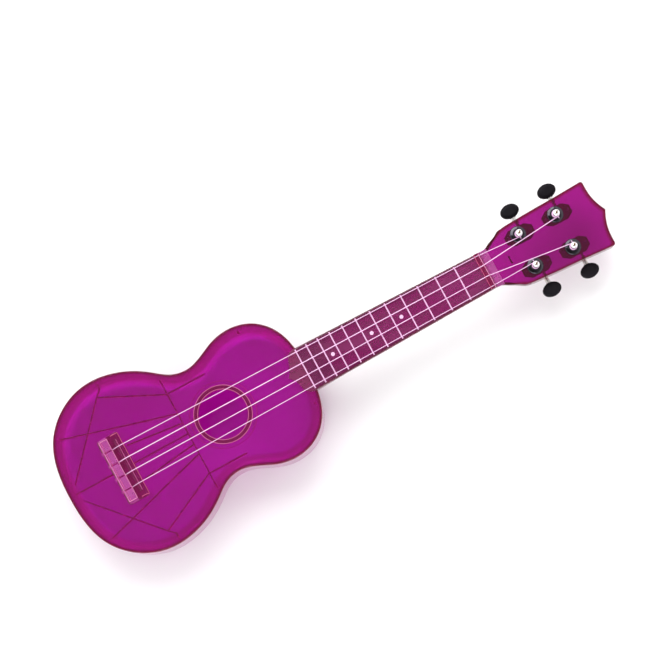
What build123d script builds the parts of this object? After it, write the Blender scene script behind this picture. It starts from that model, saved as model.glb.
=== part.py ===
from build123d import *
import math
import os
from typing import NamedTuple

# Soprano ukulele in moulded translucent plastic, millimetres.
# Frame: X across the body (right when the head points up), Y along the neck
# towards the head, Z up out of the soundboard.  Origin on the flat back, at
# the middle of the body length.

os.makedirs("parts", exist_ok=True)

# ------------------------------------------------------ shared dimensions
SCALE_LENGTH = 346.1          # nut to saddle
NUT_BODY_Y = 287.75           # nut face towards the body
NUT_LEN = 5.25
NUT_HEAD_Y = NUT_BODY_Y + NUT_LEN
FRET_12_Y = NUT_BODY_Y - SCALE_LENGTH / 2

BODY_DEPTH = 60.0             # back face to soundboard face
TOP_THICK = 2.2               # soundboard plate
RIM_Z = BODY_DEPTH - TOP_THICK
WALL = 2.6                    # side wall of the back bowl

NECK_TOP_Z = BODY_DEPTH
NECK_HALF_NUT = 17.0          # half width at the nut
NECK_HALF_12 = 20.3           # half width at the twelfth fret
NUT_SEAT_Z = NECK_TOP_Z + 2.0
NUT_TOP_Z = 66.4

HEAD_PIVOT_Y = 294.0
HEAD_TILT = math.radians(10.0)    # back from the neck line
HEAD_THICK = 12.0

SADDLE_Y = -58.4
SADDLE_THICK = 2.4
SADDLE_HALF_W = 25.0
SADDLE_SEAT_Z = BODY_DEPTH + 3.6
SADDLE_TOP_Z = 69.3

# Head frame: X across, Y up the head from the pivot, Z out of the head face.
HEAD_PLACE = Location(Plane(
    origin=(0, HEAD_PIVOT_Y, NECK_TOP_Z), x_dir=(1, 0, 0),
    z_dir=(0, math.sin(HEAD_TILT), math.cos(HEAD_TILT))))


class StringSpec(NamedTuple):
    radius: float
    nut_x: float
    saddle_x: float
    post_x: float             # post axis in the head frame
    post_y: float
    button_reach: float       # button centre from the middle of the head

    @property
    def side(self):
        return 1 if self.post_x > 0 else -1


STRINGS = {
    "g": StringSpec(0.33, -14.5, -18.2, -15.5, 37.0, 38.5),
    "c": StringSpec(0.42, -4.85, -6.1, -16.0, 74.0, 39.3),
    "e": StringSpec(0.37, 4.85, 6.1, 16.0, 74.0, 39.3),
    "a": StringSpec(0.31, 14.5, 18.2, 15.5, 37.0, 38.5),
}


# ---------------------------------------------------------------- helpers
def save(shape, name):
    shape.label = name
    export_step(shape, f"parts/{name}.step")


def one(shape):
    """The single solid of a boolean result."""
    solids = shape.solids()
    assert len(solids) == 1, len(solids)
    return solids[0]


def cyl(radius, z0, z1, x=0.0, y=0.0):
    return Pos(x, y, (z0 + z1) / 2) * Cylinder(radius, z1 - z0)


def polygon(points):
    return Face(Wire(Polyline(*points, close=True).edges()))


def prism_across(profile, half_width):
    """(y, z) profile extruded along X, centred on X = 0."""
    face = polygon([(0, y, z) for y, z in profile])
    return Solid.extrude(face, Vector(2 * half_width, 0, 0)).moved(Pos(-half_width, 0, 0))


def mirrored(points):
    """Points reflected across X = 0, in reverse order."""
    return [(-x, y) for x, y in reversed(points)]


def vectors(points):
    return [Vector(x, y, 0) for x, y in points]


def level_edges(shape, z):
    """Edges lying flat at height z."""
    return [e for e in shape.edges() if abs(e.center().Z - z) < 0.01
            and e.bounding_box().size.Z < 0.01]


def head_point(x, y, z):
    return (HEAD_PLACE * Pos(x, y, z)).position


def neck_half(y):
    """Half width of the neck and fretboard at y."""
    return (NECK_HALF_NUT + (NECK_HALF_12 - NECK_HALF_NUT)
            * (NUT_BODY_Y - y) / (NUT_BODY_Y - FRET_12_Y))


# ----------------------------------------------------------- body outline
# (x, y), right half, from the butt round to the neck end
HALF_OUTLINE = [
    (0.0, -116.66), (16.78, -115.96), (33.36, -113.07), (49.07, -106.81),
    (62.43, -96.32), (72.53, -82.63), (78.65, -66.73), (80.05, -49.74),
    (77.09, -33.01), (70.81, -17.3), (61.63, -3.2), (52.17, 10.42),
    (49.51, 26.48), (54.73, 42.16), (61.15, 57.69), (62.93, 74.56),
    (58.47, 91.02), (47.82, 104.23), (33.06, 112.32), (16.68, 115.74),
    (0.0, 116.6),
]


def body_outline(inset, z):
    """Closed smooth outline moved inward by inset, at height z."""
    ring = HALF_OUTLINE + mirrored(HALF_OUTLINE[1:-1])
    moved = []
    for i, (x, y) in enumerate(ring):
        before = ring[i - 1]
        after = ring[(i + 1) % len(ring)]
        along_x, along_y = after[0] - before[0], after[1] - before[1]
        length = math.hypot(along_x, along_y)
        moved.append(Vector(x - inset * along_y / length, y + inset * along_x / length, z))
    return Wire([Spline(*moved, periodic=True)])


def body_slab(inset, z0, z1):
    return Solid.extrude(Face(body_outline(inset, z0)), Vector(0, 0, z1 - z0))


# -------------------------------------------------------------- back bowl
BACK_THICK = 2.5
SIDE_DRAFT = 1.5              # total inward draft of the sides, rim to back
BACK_EDGE_R = 9.5
BACK_EDGE_R_IN = 7.0


def drafted_block(inset, z0, edge_radius):
    """Drafted block up to the rim, with its lower edge rounded."""
    block = Solid.make_loft(
        [body_outline(inset + SIDE_DRAFT, z0), body_outline(inset, RIM_Z)], ruled=True)
    return block.fillet(edge_radius, level_edges(block, z0))


def bowl_outer():
    return drafted_block(0.0, 0.0, BACK_EDGE_R)


def back_bowl():
    return one(bowl_outer() - drafted_block(WALL, BACK_THICK, BACK_EDGE_R_IN))


# ------------------------------------------------------------- soundboard
RIM_EDGE_R = 0.9
LIP_GAP = 0.15                # between the side wall and the lip
LIP_W = 1.4
LIP_H = 2.4
HOLE_Y = 33.9                 # sound hole centre
HOLE_R = 21.5
ROSETTE_R = 25.7
ROSETTE_H = 0.9
ROSETTE_EDGE_R = 0.4
HOLE_RIM_R = 29.0             # stiffening ring under the plate
HOLE_RIM_H = 1.6
RIB_W = 1.2
RIB_H = 4.6
RIB_INSET = WALL + 0.6
PIN_R = 1.3
PIN_H = 4.0
PINS = [(29.0, 108.4), (-56.2, 78.6)]       # (x, y)
# rib centre lines, (x, y) to (x, y); the first table is repeated on the right
LEFT_RIBS = [
    ((-7.8, -107.0), (-65.4, -55.4)), ((-65.4, -55.4), (-70.5, -49.8)),
    ((-70.5, -49.8), (-80.0, -49.8)), ((-65.4, -55.4), (-38.8, -1.3)),
    ((-38.8, -1.3), (-38.8, 35.7)), ((-49.0, -103.0), (-27.6, -28.8)),
    ((-27.6, -28.8), (-20.0, -1.3)), ((-16.4, -51.0), (-10.4, -1.0)),
]
MIDDLE_RIBS = [
    ((-56.0, -0.4), (56.0, -0.4)), ((0, -110.0), (0, -75.0)),
    ((0, -75.0), (0, -53.0)), ((0, -53.0), (0, -1.0)),
]


def rib(start, end):
    """Straight rib, run 0.2 up into the plate."""
    (x0, y0), (x1, y1) = start, end
    length = math.hypot(x1 - x0, y1 - y0)
    angle = math.degrees(math.atan2(y1 - y0, x1 - x0))
    return (Pos((x0 + x1) / 2, (y0 + y1) / 2, RIM_Z - RIB_H / 2 + 0.1)
            * Rot(0, 0, angle) * Box(length + RIB_W, RIB_W, RIB_H + 0.2))


def rib_set():
    right_ribs = [((-p[0], p[1]), (-q[0], q[1])) for p, q in LEFT_RIBS]
    ribs = [rib(p, q) for p, q in LEFT_RIBS + right_ribs + MIDDLE_RIBS]
    return ribs[0].fuse(*ribs[1:]) & body_slab(RIB_INSET, RIM_Z - RIB_H - 1, RIM_Z + 0.1)


def soundboard():
    plate = body_slab(0.0, RIM_Z, BODY_DEPTH)
    plate = plate.fillet(RIM_EDGE_R, level_edges(plate, BODY_DEPTH))
    lip_inset = WALL + LIP_GAP
    lip = (body_slab(lip_inset, RIM_Z - LIP_H, RIM_Z)
           - body_slab(lip_inset + LIP_W, RIM_Z - LIP_H, RIM_Z))
    ring_under = cyl(HOLE_RIM_R, RIM_Z - HOLE_RIM_H, RIM_Z, 0, HOLE_Y)
    pins = [cyl(PIN_R, RIM_Z - PIN_H, RIM_Z, x, y) for x, y in PINS]
    rosette = cyl(ROSETTE_R, BODY_DEPTH, BODY_DEPTH + ROSETTE_H, 0, HOLE_Y)
    rosette = rosette.fillet(ROSETTE_EDGE_R, rosette.edges().sort_by(Axis.Z)[-1:])
    board = plate.fuse(lip, rib_set(), ring_under, *pins, rosette)
    return one(board - cyl(HOLE_R, RIM_Z - RIB_H - 2, BODY_DEPTH + 3, 0, HOLE_Y))


# ---------------------------------------------------------- neck and head
SECTION_STEPS = 12
NECK_POWER = 2.4              # superellipse power of the neck underside
# (y, depth below the neck top)
NECK_STATIONS = [(HEAD_PIVOT_Y, 14.2), (262, 14.8), (225, 15.7), (190, 16.6),
                 (168, 17.3), (154, 18.2)]
HEEL_STATIONS = [(154, 18.2), (146, 19.6), (138, 23.0), (131, 29.5), (125, 38.0),
                 (119, 45.0), (112, 49.0), (104, 51.0)]
# head frame: (y, half width, depth, superellipse power)
VOLUTE_STATIONS = [
    (2.9, 17.0, 13.6, 2.6), (8.1, 19.1, 13.0, 3.2), (13.3, 21.5, 12.6, 4.4),
    (19.0, 24.25, 12.2, 7.5), (25.6, 26.65, 12.0, 14.0),
]
# right half of the head outline in the head frame, (x, y), from the neck up
HEAD_SIDE = [(26.55, 25.4), (27.3, 30.0), (27.85, 39.5), (28.5, 50.0), (29.0, 60.5),
             (29.4, 70.9), (29.85, 81.4), (30.45, 91.9), (31.15, 103.6), (31.25, 105.8)]
HEAD_CORNER_MID = (30.6, 107.8)
HEAD_CROWN = [(28.6, 108.5), (18.9, 108.8), (15.5, 109.3), (12.0, 110.1), (8.6, 111.2),
              (6.0, 112.2), (3.4, 113.4), (0.0, 115.1)]

GROOVE_Y = (123.0, 285.0)     # groove under the fretboard
GROOVE_W = 8.0
GROOVE_DEPTH = 9.0
GROOVE_EDGE_R = 2.0
BACK_GROOVE_Y = 31.0          # centre, in the head frame
BACK_GROOVE_W = 7.0
BACK_GROOVE_LEN = 40.0
BACK_GROOVE_H = 5.2
POST_CLEAR_R = 3.4            # hole right through the head
BUSHING_BORE_R = 4.5
BUSHING_BORE_DEPTH = 8.0
PILOT_R = 1.15
PILOT_LEN = 6.6
PLATE_SCREW_Y = (-7.9, 13.4)  # along the head from the post axis


def d_section(half, depth, power, place):
    """Flat top with a rounded underside; place maps (x, drop) to a point."""
    points = []
    for i in range(SECTION_STEPS + 1):
        angle = math.pi * i / SECTION_STEPS
        cosine, sine = math.cos(angle), math.sin(angle)
        x = half * math.copysign(abs(cosine) ** (2 / power), cosine)
        points.append(place(x, depth * max(sine, 0.0) ** (2 / power)))
    down = place(0, 1) - place(0, 0)
    return Wire([Spline(*points, tangents=(down, down * -1)), Line(points[-1], points[0])])


def neck_section(y, depth):
    """Neck section; the width stops growing at the twelfth fret."""
    return d_section(neck_half(max(y, FRET_12_Y)), depth, NECK_POWER,
                     lambda x, drop: Vector(x, y, NECK_TOP_Z - drop))


def volute_section(y, half, depth, power):
    return d_section(half, depth, power, lambda x, drop: head_point(x, y, -drop))


def head_outline():
    corner = [HEAD_SIDE[-1], HEAD_CORNER_MID, HEAD_CROWN[0]]
    first_x, first_y = HEAD_SIDE[0]
    return Wire([
        Line(Vector(-first_x, first_y), Vector(first_x, first_y)),
        Spline(*vectors(HEAD_SIDE)),
        ThreePointArc(*vectors(corner)),
        Spline(*vectors(HEAD_CROWN)),
        Spline(*vectors(mirrored(HEAD_CROWN))),
        ThreePointArc(*vectors(mirrored(corner))),
        Spline(*vectors(mirrored(HEAD_SIDE))),
    ])


def neck_groove():
    y0, y1 = GROOVE_Y
    groove = (Pos(0, (y0 + y1) / 2, NECK_TOP_Z - GROOVE_DEPTH / 2)
              * Box(GROOVE_W, y1 - y0, GROOVE_DEPTH))
    return groove.fillet(GROOVE_EDGE_R, [e for e in groove.edges().filter_by(Axis.Y)
                                         if e.center().Z < NECK_TOP_Z - 5])


def neck():
    bar = Solid.make_loft([neck_section(y, depth) for y, depth in NECK_STATIONS])
    heel = Solid.make_loft([neck_section(y, depth) for y, depth in HEEL_STATIONS])
    heel = one(heel - bowl_outer() - body_slab(0.0, RIM_Z, BODY_DEPTH + 1))
    # the volute squares off from the neck section to the flat head
    volute = Solid.make_loft([neck_section(*NECK_STATIONS[0])]
                             + [volute_section(*station) for station in VOLUTE_STATIONS])
    head = HEAD_PLACE * Solid.extrude(Face(head_outline()), Vector(0, 0, -HEAD_THICK))
    body = bar.fuse(heel, volute, head)

    body = body - neck_groove()
    # second groove, in the back of the head
    body = body - (HEAD_PLACE * Pos(0, BACK_GROOVE_Y, -HEAD_THICK + 2.5)
                   * Box(BACK_GROOVE_W, BACK_GROOVE_LEN, BACK_GROOVE_H))
    for string in STRINGS.values():
        x, y = string.post_x, string.post_y
        body = body - (HEAD_PLACE * Pos(x, y, -HEAD_THICK / 2)
                       * Cylinder(POST_CLEAR_R, HEAD_THICK + 2))
        body = body - (HEAD_PLACE * Pos(x, y, -BUSHING_BORE_DEPTH / 2)
                       * Cylinder(BUSHING_BORE_R, BUSHING_BORE_DEPTH))
        for screw_y in PLATE_SCREW_Y:
            body = body - (HEAD_PLACE * Pos(x, y + screw_y, -HEAD_THICK + 3.2)
                           * Cylinder(PILOT_R, PILOT_LEN))
    return one(body)


# ------------------------------------------------- fretboard, dots, frets
BOARD_THICK = 4.0
BOARD_TOP_Z = NECK_TOP_Z + BOARD_THICK
BOARD_CORNER_R = 1.3
END_THICK = BOARD_THICK - 0.4
# right half of the pointed body end of the board, (x, y)
BOARD_END = [(NECK_HALF_12, FRET_12_Y), (19.6, 109.8), (15.7, 106.1), (11.2, 104.3),
             (6.9, 103.1), (3.2, 101.0), (0.0, 98.0)]
TAIL_END_Y = 300.3            # thin tail running on to the head face
TAIL_END_HALF = 17.4
TAIL_END_THICK = 1.3
TAIL_TOP_Z = 62.2
FRET_COUNT = 12
FRET_W = 1.5
FRET_H = 1.0
FRET_EDGE_R = 0.5
FRET_END_GAP = 1.35           # from the fret end to the board edge
DOT_FRETS = (5, 7, 10)
DOT_R = 1.75
DOT_DEPTH = 0.8


def fret_y(number):
    return NUT_BODY_Y - SCALE_LENGTH * (1 - 2 ** (-number / 12))


DOT_YS = [(fret_y(n) + fret_y(n - 1)) / 2 for n in DOT_FRETS]


def board_section(y):
    """Board cross-section with rounded upper corners."""
    half = neck_half(y)
    shoulder = half - BOARD_CORNER_R
    arc_inset = BOARD_CORNER_R * (1 - math.sqrt(0.5))
    side_top = BOARD_TOP_Z - BOARD_CORNER_R

    def point(x, z):
        return Vector(x, y, z)

    return Wire([
        Line(point(-half, NECK_TOP_Z), point(-half, side_top)),
        ThreePointArc(point(-half, side_top),
                      point(-half + arc_inset, BOARD_TOP_Z - arc_inset),
                      point(-shoulder, BOARD_TOP_Z)),
        Line(point(-shoulder, BOARD_TOP_Z), point(shoulder, BOARD_TOP_Z)),
        ThreePointArc(point(shoulder, BOARD_TOP_Z),
                      point(half - arc_inset, BOARD_TOP_Z - arc_inset),
                      point(half, side_top)),
        Line(point(half, side_top), point(half, NECK_TOP_Z)),
        Line(point(half, NECK_TOP_Z), point(-half, NECK_TOP_Z)),
    ])


def board_end():
    wire = Wire([
        Spline(*vectors(BOARD_END)),
        Spline(*vectors(mirrored(BOARD_END))),
        Line(Vector(-NECK_HALF_12, FRET_12_Y), Vector(NECK_HALF_12, FRET_12_Y)),
    ])
    return Solid.extrude(Face(wire), Vector(0, 0, END_THICK)).moved(Pos(0, 0, NECK_TOP_Z))


def board_tail():
    """Tail beyond the nut, following the tilted head face."""
    end_z = NECK_TOP_Z - (TAIL_END_Y - HEAD_PIVOT_Y) * math.tan(HEAD_TILT)
    tail = prism_across([
        (NUT_HEAD_Y, NECK_TOP_Z), (HEAD_PIVOT_Y, NECK_TOP_Z), (TAIL_END_Y, end_z),
        (TAIL_END_Y, end_z + TAIL_END_THICK), (HEAD_PIVOT_Y + 0.4, TAIL_TOP_Z),
        (NUT_HEAD_Y, TAIL_TOP_Z)], 20)
    half = neck_half(NUT_HEAD_Y)
    plan = polygon([(-half, NUT_HEAD_Y - 0.1), (half, NUT_HEAD_Y - 0.1),
                    (TAIL_END_HALF, TAIL_END_Y + 0.1), (-TAIL_END_HALF, TAIL_END_Y + 0.1)])
    return tail & Solid.extrude(plan, Vector(0, 0, 80))


def fretboard():
    board = Solid.make_loft([board_section(FRET_12_Y), board_section(NUT_HEAD_Y)], ruled=True)
    board = board.fuse(board_end())
    board = board - Pos(0, NUT_BODY_Y + 5, NUT_SEAT_Z + 5) * Box(60, 10, 10)
    board = board.fuse(board_tail())
    for y in DOT_YS:
        board = board - cyl(DOT_R, BOARD_TOP_Z - DOT_DEPTH, BOARD_TOP_Z + 1, 0, y)
    return one(board)


def position_dots():
    return Compound([one(cyl(DOT_R, BOARD_TOP_Z - DOT_DEPTH, BOARD_TOP_Z, 0, y))
                     for y in DOT_YS])


def frets():
    bars = []
    for n in range(1, FRET_COUNT + 1):
        y = fret_y(n)
        bar = Pos(0, y, BOARD_TOP_Z + FRET_H / 2) * Box(
            2 * (neck_half(y) - FRET_END_GAP), FRET_W, FRET_H)
        tops = [e for e in bar.edges() if abs(e.center().Z - (BOARD_TOP_Z + FRET_H)) < 0.01]
        bars.append(one(bar.fillet(FRET_EDGE_R, tops)))
    return Compound(bars)


# ---------------------------------------------------------------- strings
POST_WAIST_R = 2.5
STRING_GAP = 0.03             # string to post, and string to its slots
COIL_TURNS = 2.5
COIL_GAP = 0.10               # between neighbouring turns
COIL_BASE_Z = 3.0             # first turn, above the head face
WRAP_DEG = 335                # first turn, which belongs to the string run
KNOT_R = 1.25


def coil_radius(string):
    return POST_WAIST_R + string.radius + STRING_GAP


def coil_pitch(string):
    return 2 * string.radius + COIL_GAP


def nut_point(string):
    return Vector(string.nut_x, NUT_BODY_Y + 2.6, NUT_TOP_Z - 0.35)


def contact_angle(string):
    """Where the string meets the coil circle, on its inner side, in the head frame."""
    nut_at = nut_point(string)
    nut_head_y = ((nut_at.Y - HEAD_PIVOT_Y) * math.cos(HEAD_TILT)
                  - (nut_at.Z - NECK_TOP_Z) * math.sin(HEAD_TILT))
    across, along = string.nut_x - string.post_x, nut_head_y - string.post_y
    swing = math.acos(coil_radius(string) / math.hypot(across, along))
    return math.atan2(along, across) - string.side * swing


def string_points(string):
    """Knot, bridge, saddle, nut and post points; the strings fan out a little at the knots."""
    angle, radius = contact_angle(string), coil_radius(string)
    return [
        Vector(string.saddle_x * 1.004, -73.55, 64.05),
        Vector(string.saddle_x * 1.002, -64.6, 64.35),
        Vector(string.saddle_x, SADDLE_Y, SADDLE_TOP_Z - 0.1),
        nut_point(string),
        head_point(string.post_x + radius * math.cos(angle),
                   string.post_y + radius * math.sin(angle), COIL_BASE_Z),
    ]


def segment(start, end, radius):
    run = end - start
    return Solid.make_cylinder(radius, run.length, Plane(origin=start, z_dir=run))


def string_run(string):
    radius = string.radius
    points = string_points(string)
    solids = []
    for i in range(len(points) - 1):
        solids.append(segment(points[i], points[i + 1], radius))
        if i:
            solids.append(Solid.make_sphere(radius, Plane(origin=points[i])))
    solids.append(Solid.make_sphere(1.03 * radius, Plane(origin=points[-1])))
    # first turn round the post, flat and clear of it, below the rising coil
    start_deg = math.degrees(contact_angle(string)) - (WRAP_DEG if string.side > 0 else 0)
    wrap = Rot(0, 0, start_deg) * Solid.make_torus(
        coil_radius(string), radius, major_angle=WRAP_DEG)
    solids.append(HEAD_PLACE * Pos(string.post_x, string.post_y, COIL_BASE_Z) * wrap)
    knot = Solid.make_sphere(KNOT_R, Plane(origin=points[0]))
    return one(knot.fuse(*solids))


def slot_cut(start, end, radius, overrun):
    """Round-bottomed slot, open upward, from start to end and overrun past both."""
    open_height = 4.0
    along = (end - start).normalized()
    side = along.cross(Vector(0, 0, 1)).normalized()
    up = side.cross(along)
    origin = start - along * overrun
    length = (end - start).length + 2 * overrun
    bottom = Solid.make_cylinder(radius, length, Plane(origin=origin, x_dir=side, z_dir=along))
    opening_plane = Plane(origin=origin + up * (open_height / 2), x_dir=side, z_dir=along)
    opening = Location(opening_plane) * (
        Pos(0, 0, length / 2) * Box(2 * radius, open_height, length))
    return bottom.fuse(opening.solids()[0])


# ---------------------------------------------------- nut, bridge, saddle
BRIDGE_HALF_W = 31.0
BRIDGE_BUTT_Y = -73.9
BRIDGE_NECK_Y = -53.3
BRIDGE_CORNER_R = 2.5
BRIDGE_FLOOR_H = 3.4          # channel between the knots and the saddle
# (y, height above the soundboard)
BRIDGE_PROFILE = [
    (BRIDGE_BUTT_Y, 0), (BRIDGE_BUTT_Y, 1.6), (-72.3, 2.2), (-72.3, 7.0), (-64.2, 7.0),
    (-64.2, BRIDGE_FLOOR_H), (-60.8, BRIDGE_FLOOR_H), (-60.8, 6.6), (-56.0, 6.6),
    (BRIDGE_NECK_Y, 2.0), (BRIDGE_NECK_Y, 0),
]
# (x, height above the soundboard)
BRIDGE_END_PROFILE = [
    (-BRIDGE_HALF_W, 0), (-BRIDGE_HALF_W, 2.4), (-29.0, 7.2),
    (29.0, 7.2), (BRIDGE_HALF_W, 2.4), (BRIDGE_HALF_W, 0),
]
BRIDGE_SLOT_W = 1.3
BRIDGE_SLOT_LEN = 9.4
BRIDGE_SLOT_Y = -68.2
SADDLE_CROWN_R = 1.0


def nut():
    body = prism_across([
        (NUT_BODY_Y, NUT_SEAT_Z), (NUT_HEAD_Y, NUT_SEAT_Z), (NUT_HEAD_Y, NUT_TOP_Z - 1.5),
        (NUT_HEAD_Y - 1.0, NUT_TOP_Z - 0.35), (NUT_BODY_Y + 2.0, NUT_TOP_Z),
        (NUT_BODY_Y, NUT_TOP_Z)], neck_half(NUT_BODY_Y) - 0.1)
    for string in STRINGS.values():
        _, _, saddle_at, nut_at, post_at = string_points(string)
        radius = string.radius + STRING_GAP
        near_nut = saddle_at + (nut_at - saddle_at) * 0.97
        past_nut = nut_at + (post_at - nut_at).normalized() * 6
        body = body - slot_cut(near_nut, nut_at, radius, overrun=0.3)
        body = body - slot_cut(nut_at, past_nut, radius, overrun=0.3)
    return one(body)


def bridge():
    body = prism_across([(y, BODY_DEPTH + h) for y, h in BRIDGE_PROFILE], BRIDGE_HALF_W)
    end_face = polygon([(x, -80, BODY_DEPTH + h) for x, h in BRIDGE_END_PROFILE])
    body = body & Solid.extrude(end_face, Vector(0, 40, 0))
    plan = RectangleRounded(2 * BRIDGE_HALF_W, BRIDGE_NECK_Y - BRIDGE_BUTT_Y, BRIDGE_CORNER_R)
    body = body & (Pos(0, (BRIDGE_NECK_Y + BRIDGE_BUTT_Y) / 2, BODY_DEPTH - 1)
                   * extrude(plan, 12))
    body = body - Pos(0, SADDLE_Y, SADDLE_SEAT_Z + 5) * Box(
        2 * SADDLE_HALF_W, SADDLE_THICK, 10)
    for string in STRINGS.values():
        body = body - (Pos(string.saddle_x * 1.003, BRIDGE_SLOT_Y,
                           BODY_DEPTH + BRIDGE_FLOOR_H + 3)
                       * Box(BRIDGE_SLOT_W, BRIDGE_SLOT_LEN, 6))
    return one(body)


def saddle():
    body = Pos(0, SADDLE_Y, (SADDLE_SEAT_Z + SADDLE_TOP_Z) / 2) * Box(
        2 * SADDLE_HALF_W, SADDLE_THICK, SADDLE_TOP_Z - SADDLE_SEAT_Z)
    crown = [e for e in body.edges().filter_by(Axis.X) if e.center().Z > SADDLE_TOP_Z - 0.1]
    body = body.fillet(SADDLE_CROWN_R, crown)
    for string in STRINGS.values():
        _, bridge_at, saddle_at, nut_at, _ = string_points(string)
        radius = string.radius + STRING_GAP
        neck_side = saddle_at + (nut_at - saddle_at).normalized() * 2.5
        butt_side = saddle_at + (bridge_at - saddle_at).normalized() * 2.5
        body = body - slot_cut(saddle_at, neck_side, radius, overrun=0.2)
        body = body - slot_cut(butt_side, saddle_at, radius, overrun=0.2)
    return one(body)


# -------------------------------------------------------- tuning machines
# Tuner frame: the head frame moved to the post axis.  Worm and button are
# drawn pointing to +X and turned over for the left side.
POST_R = 2.9
POST_TOP_Z = 9.5
POST_SQUARE = 3.2             # spigot through the gear
STRING_HOLE_R = 0.75
RUN_GAP = 0.06                # radial running clearance
SQUARE_GAP = 0.04             # socket over square end, across flats

TEETH = 14
GEAR_MODULE = 0.6
GEAR_PITCH_R = TEETH * GEAR_MODULE / 2
PITCH = math.pi * GEAR_MODULE
PRESSURE = math.radians(25)
TOOTH_THICK = 0.78            # on the pitch line, both parts
GEAR_ADDENDUM = 0.52
GEAR_ROOT_R = 3.45
GEAR_THICK = 3.6
WORM_PITCH_R = 2.3
WORM_ADDENDUM = 0.55
WORM_ROOT_R = 1.6
WORM_TURNS = 4
CENTRE_DIST = GEAR_PITCH_R + WORM_PITCH_R

SHAFT_Z = -16.5
SHAFT_R = 1.5
COLLAR_X = 13.9               # inner end of the collar
COLLAR_R = 2.15
SHAFT_SQUARE = 2.4            # end inside the button
SPIGOT_TOP_Z = SHAFT_Z + GEAR_THICK / 2
SPIGOT_END_Z = SHAFT_Z - GEAR_THICK / 2 - 0.05

PLATE_THICK = 1.0
PLATE_FACE_Z = -HEAD_THICK - PLATE_THICK
LUG_X = 4.5                   # inner face of each lug, from the post axis
LUG_THICK = 1.2
LUG_HALF_W = 3.3
PLATE_OUTLINE = [(-7.5, -4.6), (-7.5, 10.8), (-3.4, 16.6), (3.4, 16.6), (7.5, 10.8),
                 (7.5, -4.6), (3.4, -10.8), (-3.4, -10.8)]      # (x, y)

BUTTON_LEN = 17.0
BUTTON_WIDE = 12.5
BUTTON_THICK = 7.6
BUTTON_EDGE_R = 3.0


def involute(angle):
    return math.tan(angle) - angle


def gear_ring(turn, z):
    """Involute tooth outline with one tooth centred on +y, turned by turn."""
    base_r = GEAR_PITCH_R * math.cos(PRESSURE)
    half_pitch_angle = TOOTH_THICK / (2 * GEAR_PITCH_R)
    flank = []                # (radius, half angle of the tooth)
    for radius in (base_r, base_r + 0.2, GEAR_PITCH_R, GEAR_PITCH_R + 0.27,
                   GEAR_PITCH_R + GEAR_ADDENDUM):
        angle = math.acos(min(1.0, base_r / radius))
        flank.append((radius, half_pitch_angle + involute(PRESSURE) - involute(angle)))
    flank = [(GEAR_ROOT_R, flank[0][1])] + flank
    polar = []
    for i in range(TEETH):
        centre = math.pi / 2 + turn + i * 2 * math.pi / TEETH
        polar += [(radius, centre - half) for radius, half in flank]
        polar += [(radius, centre + half) for radius, half in reversed(flank)]
    points = [(radius * math.cos(angle), radius * math.sin(angle), z)
              for radius, angle in polar]
    return Wire(Polyline(*points, close=True).edges())


def gear():
    lead = math.atan(PITCH / (2 * math.pi * WORM_PITCH_R))
    twist = GEAR_THICK * math.tan(lead) / GEAR_PITCH_R / 2
    wheel = Solid.make_loft([gear_ring(twist, SHAFT_Z - GEAR_THICK / 2),
                             gear_ring(-twist, SHAFT_Z + GEAR_THICK / 2)], ruled=True)
    socket = POST_SQUARE + SQUARE_GAP
    return one(wheel - Pos(0, 0, SHAFT_Z) * Box(socket, socket, GEAR_THICK + 2))


def worm():
    """Left-hand worm, axis on local Z, crest on +x at z = 0."""
    inner_r = WORM_ROOT_R - 0.25      # thread rooted inside the core
    outer_r = WORM_PITCH_R + WORM_ADDENDUM

    def half_thread(radius):
        return TOOTH_THICK / 2 - (radius - WORM_PITCH_R) * math.tan(PRESSURE)

    half_len = PITCH * WORM_TURNS / 2
    helix = Helix(PITCH, PITCH * WORM_TURNS, inner_r, lefthand=True)
    face = polygon([(inner_r, 0, -half_thread(inner_r)), (outer_r, 0, -half_thread(outer_r)),
                    (outer_r, 0, half_thread(outer_r)), (inner_r, 0, half_thread(inner_r))])
    thread = Solid.sweep(face.outer_wire(), path=helix, is_frenet=True)
    thread = thread.moved(Pos(0, 0, -half_len))
    return Cylinder(WORM_ROOT_R, 2 * (half_len + 0.35)).fuse(thread)


def worm_shaft(worm_body, button_x):
    """Worm, journals, collar and square end, laid along +X of the tuner frame."""
    shaft = worm_body.fuse(cyl(SHAFT_R, -(LUG_X + LUG_THICK + 0.9), COLLAR_X))
    shaft = shaft.fuse(cyl(COLLAR_R, COLLAR_X, button_x))
    shaft = shaft.fuse(Pos(0, 0, button_x + 3.4) * Box(SHAFT_SQUARE, SHAFT_SQUARE, 7.0))
    axis = Plane(origin=(0, CENTRE_DIST, SHAFT_Z), x_dir=(0, 1, 0), z_dir=(1, 0, 0))
    return Location(axis) * one(shaft)


def tuner_plate():
    face = polygon([(x, y, -HEAD_THICK) for x, y in PLATE_OUTLINE])
    plate = Solid.extrude(face, Vector(0, 0, -PLATE_THICK))
    for side in (-1, 1):
        x = side * (LUG_X + LUG_THICK / 2)
        lug = Pos(x, CENTRE_DIST, (PLATE_FACE_Z + SHAFT_Z) / 2) * Box(
            LUG_THICK, 2 * LUG_HALF_W, PLATE_FACE_Z - SHAFT_Z)
        lug_end = Pos(x, CENTRE_DIST, SHAFT_Z) * Rot(0, 90, 0) * Cylinder(LUG_HALF_W, LUG_THICK)
        plate = plate.fuse(lug, lug_end)
    middle_z = -HEAD_THICK - PLATE_THICK / 2
    plate = plate - Pos(0, CENTRE_DIST, SHAFT_Z) * Rot(0, 90, 0) * Cylinder(
        SHAFT_R + RUN_GAP, 20)
    plate = plate - Pos(0, 0, middle_z) * Cylinder(POST_R + RUN_GAP, 4)
    for y in PLATE_SCREW_Y:
        plate = plate - Pos(0, y, middle_z) * Cylinder(1.3, 4)
    return one(plate)


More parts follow.
